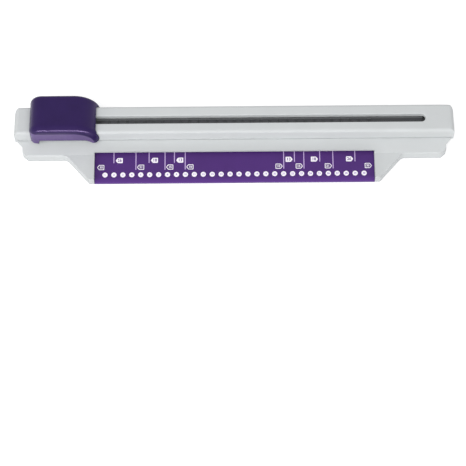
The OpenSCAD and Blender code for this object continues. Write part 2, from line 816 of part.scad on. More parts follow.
module roller_right() roller(roller_at[2]);

module chip_tray() color("#B9BCBE") {
    end_x = body_l / 2;
    half = tray_w / 2 + tray_t;
    difference() {
        union() {
            box([tray_x0, row_y - half, tray_z], [end_x, row_y + half, tray_top]);
            box([tray_x0, tray_y0, tongue_z], [end_x - 4, tray_y1, tongue_z + tongue_t]);
            box([end_x - 1.8, tray_y0, part_z + fixed_gap], [end_x, tray_y1, tray_top]);
            translate([end_x - eps, row_y, tray_z]) linear_extrude(1.8) rounded(
                [[0, -7], [5, -7], [5, 7], [0, 7]], [0, 3.5, 3.5, 0]
            );
        }
        box([tray_x0 + tray_t, row_y - tray_w / 2, chip_z],
            [end_x - 1.8, row_y + tray_w / 2, tray_top + 1]);
    }
}

top_cover();
base();
apron_plate();
die_plate();
paper_stop();
pin_guide();
keeper_front();
keeper_rear();
rail_strip_front();
rail_strip_rear();
bumper_left();
bumper_right();
pin_springs();
rubber_feet();
case_screws();
frame_screws();
slider_cap();
carriage();
roller_axles();
cap_screws();
roller_left();
roller_main();
roller_right();
chip_tray();
for (k = [1 : hole_n]) pin(k);
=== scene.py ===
"""Dresses the sliding paper punch: finishes for its pieces, its springs, the apron's print and a stage."""

import math

import bmesh
import bpy
from bpy.props import FloatProperty, FloatVectorProperty, IntProperty, PointerProperty
from mathutils import Euler, Matrix, Vector


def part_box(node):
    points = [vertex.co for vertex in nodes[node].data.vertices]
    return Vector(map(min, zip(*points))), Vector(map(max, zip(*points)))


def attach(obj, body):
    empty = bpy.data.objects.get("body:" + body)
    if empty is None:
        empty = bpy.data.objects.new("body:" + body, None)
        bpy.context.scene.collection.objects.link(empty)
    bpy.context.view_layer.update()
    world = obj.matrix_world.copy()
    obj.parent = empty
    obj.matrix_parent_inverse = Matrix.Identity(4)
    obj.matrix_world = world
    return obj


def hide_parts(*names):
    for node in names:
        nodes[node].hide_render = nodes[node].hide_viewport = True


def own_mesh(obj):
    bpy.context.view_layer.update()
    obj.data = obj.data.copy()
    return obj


bl_info = {
    "name": "Sliding Paper Punch",
    "version": (1, 0, 0),
    "blender": (4, 5, 0),
    "location": "View3D > Sidebar > Paper Punch",
    "description": "Finishes, springs, apron print and stage for a sliding multi-hole paper punch",
    "category": "Object",
}

MM = 0.001
PICTURE_PX = 466
BODY = "punch_body"
MERGE_DISTANCE = 0.0001 * MM
WHITE = (1.0, 1.0, 1.0, 1.0)
# The part of its range that a noise mostly keeps to
NOISE_LOW = 0.3
NOISE_HIGH = 0.7
# Sheet widths in millimetres, and whether the line of each is long, with its tag outlined
SHEET_LINES = ((257, False), (210, True), (182, False), (148, True), (128, False), (105, True))
# The widest sheet ends at the apron's borders, so it has a tag and no line
WIDEST = 297

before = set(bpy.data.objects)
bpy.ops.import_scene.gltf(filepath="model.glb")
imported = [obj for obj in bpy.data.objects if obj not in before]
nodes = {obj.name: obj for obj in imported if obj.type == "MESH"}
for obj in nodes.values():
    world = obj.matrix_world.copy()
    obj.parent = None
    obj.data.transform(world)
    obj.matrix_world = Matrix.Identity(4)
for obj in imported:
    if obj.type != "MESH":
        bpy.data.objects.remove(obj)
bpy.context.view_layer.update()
apron_low, apron_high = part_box("apron_plate")
cap_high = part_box("slider_cap")[1]
keeper_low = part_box("keeper_rear")[0]


def length(label, text, default, low=0.0, high=1.0):
    """A size in metres that a user may change."""
    return FloatProperty(name=label, description=text, default=default, min=low, max=high,
                         unit="LENGTH", precision=5)


def share(label, text, default, high=1.0):
    """A plain factor that a user may change."""
    return FloatProperty(name=label, description=text, default=default, min=0.0, max=high,
                         subtype="FACTOR")


def count(label, text, default, low, high=100):
    """A whole number that a user may change."""
    return IntProperty(name=label, description=text, default=default, min=low, max=high)


def angle(label, text, degrees):
    """An angle that a user may change, given in degrees."""
    return FloatProperty(name=label, description=text, default=math.radians(degrees), subtype="ANGLE")


def power(label, text, watts):
    """A lamp's power that a user may change."""
    return FloatProperty(name=label, description=text, default=watts, min=0.0, unit="POWER")


def point(label, text, default):
    """A place, or the two sides of a lamp, in metres."""
    return FloatVectorProperty(name=label, description=text, size=len(default), default=default,
                               unit="LENGTH")


def linear(value):
    """One sRGB channel as linear light."""
    return value / 12.92 if value <= 0.04045 else ((value + 0.055) / 1.055) ** 2.4


def colour(label, text, srgb):
    """A colour that a user may change, given as 0 to 255 in sRGB and kept linear."""
    return FloatVectorProperty(name=label, description=text, subtype="COLOR", size=3, min=0.0, max=1.0,
                               default=[linear(c / 255) for c in srgb])


class PunchColours(bpy.types.PropertyGroup):
    """Colours of the punch's mouldings, metals and print."""

    case: colour("Case", "Grey of the case's upper shell", (208, 211, 212))
    base: colour("Base", "Grey of the base and the chip tray", (196, 199, 201))
    keeper: colour("Keepers", "Grey of the strips that hold the pins down", (124, 126, 128))
    apron: colour("Apron", "Purple of the paper apron", (77, 45, 114))
    cap_top: colour("Cap top", "Dark purple of the slider cap's top", (39, 25, 75))
    # The cap band's paler purple is partly the cap's own tone and partly painted light reflected onto its
    # forward faces.
    cap_side: colour("Cap band", "Paler purple of the slider cap's front band", (100, 82, 130))
    cap_gloss: colour("Cap gloss", "Tint of the slider cap's gloss", (222, 192, 255))
    print_ink: colour("Print", "Pale print on the apron", (250, 246, 255))
    line_ink: colour("Lines", "Lilac of the sheet lines on the apron", (200, 176, 224))
    number_ink: colour("Dot numbers", "Soft purple of the numbers in the dots", (172, 152, 204))
    black: colour("Black parts", "Pin guide and pins", (76, 77, 80))
    rubber: colour("Rubber", "Feet and bumpers", (38, 38, 39))
    steel: colour("Steel", "Plates, rollers, screws and springs", (158, 161, 165))
    carriage: colour("Carriage", "White low-friction carriage", (224, 224, 218))


class PunchCap(bpy.types.PropertyGroup):
    """Sizes of the paler band on the slider cap's forward faces, which is partly painted reflected light.
    """

    slope: length("Slope radius", "Radius of the cap's sloping end", 27.5 * MM)
    stretch: share("Slope stretch", "Share of the way past the slope's start that bends the band", 0.68)
    drop: length("Band drop", "Distance of the band's upper edge from the cap's top", 9.0 * MM)
    blur: length("Band blur", "Width over which the two tones meet", 1.0 * MM)


class PunchWear(bpy.types.PropertyGroup):
    """Painted highlight at the apron's front edge, painted shade on the deck, the tone the carriage leaves
    on the guide's landings, and where they lie.
    """

    # Painted highlight: the three nose settings below make a paler strip at the apron's front edge that
    # stands in for light reflected there.
    nose_tone: share("Nose tone", "Tone of the apron where sheets rub its front edge", 1.36, high=2.0)
    nose_full: length("Nose rub", "Distance from the front edge where the rubbing starts to fade", 2.5 * MM)
    nose_end: length("Nose rub end", "Distance from the front edge where the rubbing ends", 6.5 * MM)
    # Painted shade: the five deck settings below darken the deck between the wings, most at the paper gap.
    deck_tone: share("Deck tone", "Tone of the deck where hands push sheets in", 0.86, high=2.0)
    deck_front: length("Deck front", "Y of the paper gap, where the tone is full", -9.3 * MM, low=-1.0)
    deck_rear: length("Deck rear", "Y of the rail's foot, where the tone ends", 3.0 * MM)
    deck_inside: length("Deck fade", "How far inside the apron's ends the tone starts to fade", 14.0 * MM)
    deck_outside: length("Deck fade end", "How far past the apron's ends the tone ends", 12.0 * MM)
    landing_blur: length("Landing blur", "Half the width over which a landing changes tone", 0.2 * MM)


class PunchPrint(bpy.types.PropertyGroup):
    """Sizes of the print on the apron, measured up the slope from its nose."""

    nose: length("Nose height", "Height of the apron's front edge above its underside", 2.0 * MM)
    lift: length("Ink thickness", "How far the print stands on the apron", 0.05 * MM)
    dot_up: length("Dot row", "Distance of the dots from the nose", 9.2 * MM)
    dot_size: length("Dot size", "Diameter of a dot", 5.6 * MM)
    dot_number: length("Dot number", "Size of the number in a dot", 2.9 * MM)
    pitch: length("Pitch", "Distance from dot to dot", 9.5 * MM)
    holes: count("Dots", "Number of dots", 30, low=2, high=30)
    line_top: length("Line top", "Distance of the lines' upper ends from the nose", 38.5 * MM)
    short_end: length("Short line", "Distance of a short line's lower end from the nose", 22.7 * MM)
    long_end: length("Long line", "Distance of a long line's lower end from the nose", 14.9 * MM)
    line_width: length("Line width", "Width of a sheet line", 0.9 * MM)
    tag_length: length("Tag length", "Length of a sheet tag with its point", 7.7 * MM)
    tag_height: length("Tag height", "Height of a sheet tag", 5.8 * MM)
    tag_corner: length("Tag corner", "Rounding of a tag's corners", 0.7 * MM)
    tag_rim: length("Tag rim", "Width of an outlined tag's rim", 0.75 * MM)
    tag_shoulder: share("Tag shoulder", "Share of a tag's length that its point takes", 0.28)
    tag_middle: share("Tag middle", "Share of a tag's length from its point to its number", 0.57)
    filled_gap: length("Filled tag gap", "Distance from a short line to its tag's point", 1.8 * MM)
    outlined_gap: length("Outlined tag gap", "Distance from a long line to its tag's point", 1.1 * MM)
    far_gap: length("Far tag gap", "Distance from the widest sheet's edge to its tag's point", 2.1 * MM)
    filled_number: length("Filled tag number", "Size of the number in a filled tag", 4.5 * MM)
    outlined_number: length("Outlined tag number", "Size of the number in an outlined tag", 3.5 * MM)
    weight: length("Number weight", "How much the numbers are thickened", 0.1 * MM)


class PunchSprings(bpy.types.PropertyGroup):
    """Sizes of the return springs."""

    wire: length("Spring wire", "Diameter of a return spring's wire", 0.5 * MM)
    turns: FloatProperty(name="Spring turns", description="Turns of a spring", default=2.5, min=1.0)
    steps: count("Steps in a turn", "Facets in one turn of a spring", 24, low=8)
    sides: count("Wire sides", "Facets round the wire", 8, low=3)


class PunchStage(bpy.types.PropertyGroup):
    """Floor, light and camera."""

    floor: length("Floor", "Half the side of the floor", 4.0, high=10.0)
    floor_tone: share("Floor tone", "Grey of the floor under the lamps", 0.9)
    floor_glow: share("Floor glow", "Light that brings the floor up to white where it is seen", 0.42)
    sky: share("Sky", "Strength of the even light from all round", 0.6)
    key: power("Key", "Power of the large soft lamp", 23.2)
    key_size: point("Key size", "Width and height of the large soft lamp", (2.6, 1.7))
    key_place: point("Key place", "Middle of the large soft lamp", (-0.4, -1.1, 1.2))
    strip: power("Strip", "Power of the low front lamp", 46.0)
    strip_size: point("Strip size", "Width and height of the low front lamp", (2.2, 0.12))
    strip_place: point("Strip place", "Middle of the low front lamp", (0.0, -1.5, 0.07))
    elevation: angle("Elevation", "Camera elevation", 63.0)
    roll: angle("Roll", "Turn of the picture", 0.453)
    distance: length("Distance", "Camera distance from its aim point", 1.9, high=10.0)
    aim: point("Aim", "Point that the camera looks at", (-2.146 * MM, -101.1 * MM, 0.0))
    focal_px: FloatProperty(name="Focal length", description="Focal length in pixels of the picture",
                            default=1812.5)


class Wire:
    """A socket of a finish's node tree. Arithmetic on it adds Math nodes."""

    def __init__(self, finish, socket):
        self.finish = finish
        self.socket = socket

    def _math(self, operation, first, second):
        return self.finish.node("ShaderNodeMath", {"operation": operation}, {0: first, 1: second})

    def __add__(self, other):
        return self._math("ADD", self, other)

    def __radd__(self, other):
        return self._math("ADD", other, self)

    def __sub__(self, other):
        return self._math("SUBTRACT", self, other)

    def __rsub__(self, other):
        return self._math("SUBTRACT", other, self)

    def __mul__(self, other):
        return self._math("MULTIPLY", self, other)

    def __rmul__(self, other):
        return self._math("MULTIPLY", other, self)


class Finish:
    """The nodes of a material, or of the world, under construction."""

    def __init__(self, owner):
        self.owner = owner
        self.owner.use_nodes = True
        self.tree = owner.node_tree
        self.tree.nodes.clear()

    def node(self, kind, settings=None, inputs=None, output=0):
        """Adds a node, sets it up, feeds its sockets and returns one output as a wire."""
        made = self.tree.nodes.new(kind)
        for key, value in (settings or {}).items():
            setattr(made, key, value)
        for key, value in (inputs or {}).items():
            if isinstance(value, Wire):
                self.tree.links.new(value.socket, made.inputs[key])
            else:
                made.inputs[key].default_value = value
        return Wire(self, made.outputs[output]) if made.outputs else None

    def place(self):
        """Object coordinates: the punch's own frame, in metres."""
        return self.node("ShaderNodeTexCoord", output="Object")

    def axis(self, vector, letter):
        """One part of a vector."""
        return self.node("ShaderNodeSeparateXYZ", inputs={"Vector": vector}, output=letter)

    def noise(self, vector, scale, detail=3.0):
        """Noise from 0 to 1 with that many features to the metre."""
        return self.node("ShaderNodeTexNoise", {"noise_dimensions": "3D"},
                         {"Vector": vector, "Scale": scale, "Detail": detail, "Roughness": 0.55}, "Fac")

    def streaks(self, stretch, detail):
        """Noise with its own number of features to the metre along each axis."""
        place = self.node("ShaderNodeMapping", inputs={"Vector": self.place(), "Scale": stretch})
        return self.noise(place, scale=1.0, detail=detail)

    def spread(self, value, start, end, at_start=0.0, at_end=1.0):
        """Maps a value's span to another span, clamped."""
        return self.node("ShaderNodeMapRange", {"clamp": True},
                         {"Value": value, "From Min": start, "From Max": end, "To Min": at_start,
                          "To Max": at_end})

    def even(self, noise, at_low=0.0, at_high=1.0):
        """Maps the part of its range that a noise mostly keeps to, to another span."""
        return self.spread(noise, NOISE_LOW, NOISE_HIGH, at_low, at_high)

    def fade(self, value, full, none):
        """1 where a value is below full, falling to 0 where it reaches none."""
        return self.spread(value, full, none, 1.0, 0.0)

    def blend(self, factor, first, second):
        """Mixes two colours."""
        return self.node("ShaderNodeMix", {"data_type": "RGBA"}, {0: factor, 6: first, 7: second}, 2)

    def bump(self, height, depth):
        """A soft bump of that depth in metres."""
        return self.node("ShaderNodeBump", inputs={"Height": height, "Distance": depth, "Strength": 0.3},
                         output="Normal")

    def seen(self, by_light, by_eye):
        """One value for light, and another where the camera, a mirror or glass shows the surface."""
        rays = [self.node("ShaderNodeLightPath", output=f"Is {kind} Ray")
                for kind in ("Camera", "Glossy", "Transmission")]
        return self.spread(rays[0] + rays[1] + rays[2], 0.0, 1.0, by_light, by_eye)

    def surface(self, **inputs):
        """Ends the material in a Principled shader."""
        sockets = {name.replace("_", " "): value for name, value in inputs.items()}
        shader = self.node("ShaderNodeBsdfPrincipled", inputs=sockets)
        self.node("ShaderNodeOutputMaterial", inputs={"Surface": shader})
        return self.owner


def rgba(shade, factor=1.0):
    """A property's colour with its alpha, made lighter or darker."""
    return tuple(min(1.0, c * factor) for c in shade) + (1.0,)


def rubbed_nose(finish, place):
    """Painted highlight on the apron: a paler strip behind its front edge, standing in for light reflected
    there.
    """
    wear_and_light_sizes = bpy.context.scene.punch_wear
    return finish.fade(finish.axis(place, "Y") - apron_low.y, wear_and_light_sizes.nose_full, wear_and_light_sizes.nose_end)


def handled_deck(finish, place):
    """Painted shade: darkens the deck between the wings, most at the paper gap."""
    wear_and_light_sizes = bpy.context.scene.punch_wear
    aside = finish.node("ShaderNodeMath", {"operation": "ABSOLUTE"}, {0: finish.axis(place, "X")})
    between = finish.fade(aside, apron_high.x - wear_and_light_sizes.deck_inside, apron_high.x + wear_and_light_sizes.deck_outside)
    return between * finish.fade(finish.axis(place, "Y"), wear_and_light_sizes.deck_front, wear_and_light_sizes.deck_rear)


def rubbed_landing(finish, place):
    """Where the carriage rubs the guide's landings: their rear part, in line with the rear keeper."""
    blur = bpy.context.scene.punch_wear.landing_blur
    return finish.spread(finish.axis(place, "Y"), keeper_low.y - blur, keeper_low.y + blur)


def moulded(name, shade, rough, tone, shine=0.4, wear_and_light_mask=None, painted_light_tone=1.0):
    """Satin moulded plastic: faint cloudy tone, fine spark-eroded grain and a little uneven gloss.

    The optional mask gives the share of painted light at a place, painted shade on the deck and a painted
    highlight at the apron's front edge, and the tone factor is the shade's factor where it is full.
    """
    finish = Finish(bpy.data.materials.new(name))
    place = finish.place()
    cloud = finish.noise(place, scale=38.0, detail=4.0)
    speck = finish.noise(place, scale=2600.0, detail=2.0)
    tint = finish.even(cloud * 0.75 + speck * 0.25)
    base = finish.blend(tint, rgba(shade, 1.0 - tone), rgba(shade, 1.0 + tone))
    # Painted light: the optional mask scales the shade toward the painted tone, darker for painted shade
    # and paler for a painted highlight.
    if wear_and_light_mask:
        base = finish.blend(wear_and_light_mask(finish, place), base, rgba(shade, painted_light_tone))
    gloss = finish.even(finish.noise(place, scale=160.0), at_low=rough - 0.05, at_high=rough + 0.06)
    grain = finish.bump(finish.noise(place, scale=1500.0), depth=0.02 * MM)
    return finish.surface(Base_Color=base, Roughness=gloss, Normal=grain, Specular_IOR_Level=shine)


def cap_band(finish, place, cap):
    """The cap's paler band: its upright front faces, below a line that follows the sloping end. It is
    partly the cap's own paler tone and partly painted light reflected onto the faces that look forward.
    """
    along = finish.axis(place, "X") - (cap_high.x - cap.slope)
    up = finish.axis(place, "Z") - (cap_high.z - cap.slope)
    past = finish.node("ShaderNodeMath", {"operation": "MAXIMUM"}, {0: along, 1: 0.0})
    bent = past * past * cap.stretch + up * up
    reach = finish.node("ShaderNodeMath", {"operation": "SQRT"}, {0: bent})
    edge = cap.slope - cap.drop
    below = finish.fade(reach, full=edge - cap.blur, none=edge)
    normal = finish.node("ShaderNodeNewGeometry", output="Normal")
    forward = finish.fade(finish.axis(normal, "Y"), full=-0.5, none=-0.3)
    upright = finish.fade(finish.axis(normal, "Z"), full=0.14, none=0.43)
    return below * (forward * upright)


def cap_moulding(name, colours, cap):
    """Purple cap: a dark smooth roof and a paler front band that is partly painted reflected light, with
    faint rubbing along the top.
    """
    finish = Finish(bpy.data.materials.new(name))
    place = finish.place()
    cloud = finish.even(finish.noise(place, scale=60.0, detail=4.0))
    roof = finish.blend(cloud, rgba(colours.cap_top, 0.93), rgba(colours.cap_top, 1.07))
    wall_and_sheen = finish.blend(cloud, rgba(colours.cap_side, 0.95), rgba(colours.cap_side, 1.05))
    # Painted light: faces that look forward and stand upright get the paler purple, partly the cap's own
    # band and partly painted reflected light.
    base = finish.blend(cap_band(finish, place, cap), roof, wall_and_sheen)
    rubbing = finish.streaks(stretch=(90.0, 420.0, 420.0), detail=4.0)
    gloss = finish.even(rubbing, at_low=0.23, at_high=0.26)
    grain = finish.bump(finish.noise(place, scale=1800.0), depth=0.003 * MM)
    return finish.surface(Base_Color=base, Roughness=gloss, Normal=grain, Specular_IOR_Level=0.3,
                          Specular_Tint=rgba(colours.cap_gloss))


def metal(name, shade, stretch, rough=0.34):
    """Bare steel with drawn or ground lines and faint stains."""
    finish = Finish(bpy.data.materials.new(name))
    lines = finish.streaks(stretch, detail=5.0)
    stain = finish.noise(finish.place(), scale=55.0, detail=4.0)
    tint = finish.spread(lines * 0.6 + stain * 0.4, start=0.32, end=0.68)
    base = finish.blend(tint, rgba(shade, 0.84), rgba(shade, 1.1))
    gloss = finish.even(lines, at_low=rough - 0.08, at_high=rough + 0.12)
    return finish.surface(Base_Color=base, Roughness=gloss, Metallic=1.0,
                          Normal=finish.bump(lines, depth=0.015 * MM))


def blackened(name, shade, rough=0.5, wear_and_light_mask=None, worn_shade=None):
    """Dark satin surface with pale dust in its grain, and worn_shade where worn says so."""
    finish = Finish(bpy.data.materials.new(name))
    place = finish.place()
    dust = finish.spread(finish.noise(place, scale=900.0), start=0.55, end=0.8, at_end=0.35)
    cloud = finish.noise(place, scale=70.0)
    deep = finish.blend(cloud, rgba(shade, 0.85), rgba(shade, 1.15))
    base = finish.blend(dust, deep, rgba(shade, 1.9))
    if wear_and_light_mask:
        base = finish.blend(wear_and_light_mask(finish, place), base, rgba(worn_shade))
    gloss = finish.even(cloud, at_low=rough - 0.08, at_high=rough + 0.1)
    grain = finish.bump(finish.noise(place, scale=1300.0), depth=0.02 * MM)
    return finish.surface(Base_Color=base, Roughness=gloss, Normal=grain)


def ink(name, shade):
    """Pad-printed ink: slightly uneven cover and a matt face."""
    finish = Finish(bpy.data.materials.new(name))
    place = finish.place()
    cover = finish.even(finish.noise(place, scale=1200.0))
    base = finish.blend(cover, rgba(shade, 0.93), rgba(shade, 1.04))
    gloss = finish.even(finish.noise(place, scale=300.0), at_low=0.5, at_high=0.62)
    return finish.surface(Base_Color=base, Roughness=gloss, Normal=finish.bump(cover, depth=0.01 * MM))


def dress(names, material):
    """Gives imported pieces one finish."""
    for name in names:
        slots = nodes[name].data.materials
        slots.clear()
        slots.append(material)


def made(name, bm, material, slot):
    """Makes a piece from finished mesh code and lets it ride on the punch's body."""
    mesh = bpy.data.meshes.new(name)
    bm.to_mesh(mesh)
    bm.free()
    mesh.materials.append(material)
    piece = bpy.data.objects.new(name, mesh)
    bpy.context.scene.collection.objects.link(piece)
    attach(piece, BODY)
    return piece


def wound(springs, outer_r, bottom, top):
    """Mesh code of a round wire wound about the Z axis from one height to another."""
    bm = bmesh.new()
    wire_r = springs.wire / 2
    start = Matrix.Translation((outer_r - wire_r, 0.0, bottom + wire_r))
    across = Matrix.Rotation(math.pi / 2, 4, "X")
    bmesh.ops.create_circle(bm, cap_ends=False, segments=springs.sides, radius=wire_r,
                            matrix=start @ across)
    steps = round(springs.turns * springs.steps)
    climb = (top - bottom - springs.wire) / steps
    bmesh.ops.spin(bm, geom=bm.edges[:], cent=(0.0, 0.0, 0.0), axis=(0.0, 0.0, 1.0),
                   dvec=(0.0, 0.0, climb), angle=math.tau * springs.turns, steps=steps,
                   use_duplicate=False)
    bmesh.ops.holes_fill(bm, edges=bm.edges[:], sides=0)
    bmesh.ops.recalc_face_normals(bm, faces=bm.faces[:])
    return bm


def apron_place():
    """Turns flat print (X along the apron, Y up its slope, Z out of it) into place on its face."""
    nose_z = apron_low.z + bpy.context.scene.punch_print.nose
    slope = math.atan2(apron_high.z - nose_z, apron_high.y - apron_low.y)
    return Matrix.Translation((0.0, apron_low.y, nose_z)) @ Matrix.Rotation(slope, 4, "X")


def printed(name, bm, material, slot):
    """Makes a piece of print from flat mesh code, set on the apron."""
    bmesh.ops.remove_doubles(bm, verts=bm.verts[:], dist=MERGE_DISTANCE)
    bmesh.ops.recalc_face_normals(bm, faces=bm.faces[:])
    bmesh.ops.transform(bm, matrix=apron_place(), verts=bm.verts[:])
    return made(name, bm, material, slot)


def dot_places(sizes):
    """Middles of the dots on the flat print, from left to right."""
    return [((k - (sizes.holes - 1) / 2) * sizes.pitch, sizes.dot_up) for k in range(sizes.holes)]


def line_end(is_long, sizes):
    """How far up the slope a sheet's line ends, which is also the foot of its tag."""
    return sizes.long_end if is_long else sizes.short_end


def tag_places(sizes):
    """Each tag's sheet width, whether it is outlined, its side (-1 left, 1 right) and its point along X."""
    for side in (-1, 1):
        for width, is_long in SHEET_LINES + ((WIDEST, True),):
            gap = sizes.outlined_gap if is_long else sizes.filled_gap
            if width == WIDEST:
                gap = sizes.far_gap
            yield width, is_long, side, side * (width / 2 * MM - gap)


def tag_outline(bm, point_x, side, low, sizes):
    """A flat tag whose point looks at its line. side is -1 when the point looks left."""
    shoulder = point_x - side * sizes.tag_shoulder * sizes.tag_length
    back = point_x - side * sizes.tag_length
    top = low + sizes.tag_height
    corners = [(point_x, (low + top) / 2), (shoulder, low), (back, low), (back, top), (shoulder, top)]
    face = bm.faces.new([bm.verts.new((x, y, 0.0)) for x, y in corners])
    bmesh.ops.bevel(bm, geom=list(face.verts), offset=sizes.tag_corner, offset_type="OFFSET", segments=4,
                    profile=0.5, affect="VERTICES", material=-1)


def thicken(bm, faces, lift):
    """Gives flat print its thickness, standing out of the apron."""
    bmesh.ops.recalc_face_normals(bm, faces=faces)
    for face in faces:
        if face.normal.z < 0:
            face.normal_flip()
    grown = bmesh.ops.extrude_face_region(bm, geom=faces, use_keep_orig=True)
    tops = [v for v in grown["geom"] if isinstance(v, bmesh.types.BMVert)]
    bmesh.ops.translate(bm, verts=tops, vec=(0.0, 0.0, lift))


def add_number(bm, number, size, centre, bottom, sizes):
    """Adds one plain number to flat print, centred on a point and half as thick as the print."""
    half_thick = sizes.lift / 4
    curve = bpy.data.curves.new("number", "FONT")
    curve.body = str(number)
    curve.size = size
    curve.align_x = "CENTER"
    curve.align_y = "CENTER"
    curve.extrude = half_thick
    curve.offset = sizes.weight
    curve.resolution_u = 3
    holder = bpy.data.objects.new("number", curve)
    bpy.context.scene.collection.objects.link(holder)
    graph = bpy.context.evaluated_depsgraph_get()
    mesh = bpy.data.meshes.new_from_object(holder.evaluated_get(graph))
    bpy.data.objects.remove(holder)
    bpy.data.curves.remove(curve)
    mesh.transform(Matrix.Translation((*centre, bottom + half_thick)))
    bm.from_mesh(mesh)
    bpy.data.meshes.remove(mesh)


class PUNCH_OT_mouldings(bpy.types.Operator):
    """Finish the case, base, tray, strips, apron and carriage as satin mouldings"""

    bl_idname = "punch.mouldings"
    bl_label = "Finish Mouldings"

    def execute(self, context):
        colours = context.scene.punch_colours
        wear_and_light_sizes = context.scene.punch_wear
        # The case's deck gets painted shade between the wings.
        dress(["top_cover", "rail_strip_front", "rail_strip_rear"],
              moulded("case_grey", colours.case, rough=0.5, tone=0.02, shine=0.1, wear_and_light_mask=handled_deck,
                      painted_light_tone=wear_and_light_sizes.deck_tone))
        dress(["base", "chip_tray"], moulded("base_grey", colours.base, rough=0.5, tone=0.03))
        dress(["keeper_front", "keeper_rear"],
              moulded("keeper_grey", colours.keeper, rough=0.5, tone=0.03))
        # The apron gets a painted highlight along its front edge.
        dress(["apron_plate"],
              moulded("apron_purple", colours.apron, rough=0.5, tone=0.06, shine=0.18, wear_and_light_mask=rubbed_nose,
                      painted_light_tone=wear_and_light_sizes.nose_tone))
        dress(["carriage"], moulded("carriage_white", colours.carriage, rough=0.4, tone=0.02))
        return {"FINISHED"}


class PUNCH_OT_cap(bpy.types.Operator):
    """Finish the slider cap in two tones of purple, the paler one partly painted light on its forward faces
    """

    bl_idname = "punch.cap"
    bl_label = "Finish Slider Cap"

    def execute(self, context):
        scene = context.scene
        dress(["slider_cap"], cap_moulding("cap_purple", scene.punch_colours, scene.punch_cap))
        return {"FINISHED"}


class PUNCH_OT_metals(bpy.types.Operator):
    """Finish the plates, rollers, axles and screws as steel"""

    bl_idname = "punch.metals"
    bl_label = "Finish Steel Parts"

    def execute(self, context):
        shade = context.scene.punch_colours.steel
        dress(["die_plate", "paper_stop"],
              metal("plate_steel", shade, stretch=(40.0, 2400.0, 2400.0)))
        dress(["roller_left", "roller_main", "roller_right", "roller_axles"],
              metal("roller_steel", shade, stretch=(300.0, 5200.0, 300.0), rough=0.3))
        dress(["case_screws", "frame_screws", "cap_screws"],
              metal("screw_steel", shade, stretch=(900.0, 900.0, 900.0)))
        return {"FINISHED"}


class PUNCH_OT_springs(bpy.types.Operator):
    """Wind a return spring round each pin"""

    bl_idname = "punch.springs"
    bl_label = "Wind Return Springs"

    def execute(self, context):
        scene = context.scene
        steel = metal("spring_steel", scene.punch_colours.steel, stretch=(500.0, 500.0, 3000.0), rough=0.28)
        low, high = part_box("pin_springs")
        for k in range(scene.punch_print.holes):
            pin = f"pin_{k + 1:02d}"
            middle = sum(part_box(pin), Vector()) / 2
            bm = wound(scene.punch_springs, (high.y - low.y) / 2, low.z, high.z)
            bmesh.ops.translate(bm, vec=(middle.x, middle.y, 0.0), verts=bm.verts[:])
            piece = made(f"spring_{k + 1:02d}", bm, steel, "spring_steel")
            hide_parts("pin_springs")
            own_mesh(piece)
        return {"FINISHED"}


class PUNCH_OT_black_parts(bpy.types.Operator):
    """Finish the pin guide, pins, feet and bumpers"""

    bl_idname = "punch.black_parts"
    bl_label = "Finish Black Parts"

    def execute(self, context):
        colours = context.scene.punch_colours
        dress(["pin_guide"],
              blackened("guide_black", colours.black, wear_and_light_mask=rubbed_landing, worn_shade=colours.keeper))
        pins = [name for name in nodes if name.startswith("pin_") and name[4:].isdigit()]
        dress(pins, blackened("pin_black", colours.black, rough=0.42))
        dress(["rubber_feet", "bumper_left", "bumper_right"],
              blackened("rubber_black", colours.rubber, rough=0.75))
        return {"FINISHED"}


class PUNCH_OT_hole_dots(bpy.types.Operator):
    """Print the row of dots that stand for the holes"""

    bl_idname = "punch.hole_dots"
    bl_label = "Print Hole Dots"

    def execute(self, context):
        sizes = context.scene.punch_print
        bm = bmesh.new()
        foot_r = sizes.dot_size / 2
        for spot in dot_places(sizes):
            bmesh.ops.create_cone(bm, cap_ends=True, segments=40, radius1=foot_r,
                                  radius2=foot_r - sizes.lift / 2, depth=sizes.lift,
                                  matrix=Matrix.Translation((*spot, sizes.lift / 2)))
        white = ink("print_white", context.scene.punch_colours.print_ink)
        printed("hole_dots", bm, white, "carriage_white")
        return {"FINISHED"}


class PUNCH_OT_dot_numbers(bpy.types.Operator):
    """Print a plain number in each dot"""

    bl_idname = "punch.dot_numbers"
    bl_label = "Print Dot Numbers"

    def execute(self, context):
        sizes = context.scene.punch_print
        bm = bmesh.new()
        for number, spot in enumerate(dot_places(sizes), 1):
            add_number(bm, number, sizes.dot_number, spot, sizes.lift, sizes)
        purple = ink("print_purple", context.scene.punch_colours.number_ink)
        printed("dot_numbers", bm, purple, "apron_purple")
        return {"FINISHED"}


class PUNCH_OT_sheet_lines(bpy.types.Operator):
    """Print the lines that show where each sheet's edge goes"""

    bl_idname = "punch.sheet_lines"
    bl_label = "Print Sheet Lines"

    def execute(self, context):
        sizes = context.scene.punch_print
        bm = bmesh.new()
        for width, is_long in SHEET_LINES:
            low = line_end(is_long, sizes)
            for side in (-1, 1):
                middle = (side * width / 2 * MM, (sizes.line_top + low) / 2, sizes.lift / 2)
                box = bmesh.ops.create_cube(bm, size=1.0)["verts"]
                bmesh.ops.scale(bm, vec=(sizes.line_width, sizes.line_top - low, sizes.lift), verts=box)
                bmesh.ops.translate(bm, vec=middle, verts=box)
        lilac = ink("line_lilac", context.scene.punch_colours.line_ink)
        printed("sheet_lines", bm, lilac, "carriage_white")
        return {"FINISHED"}


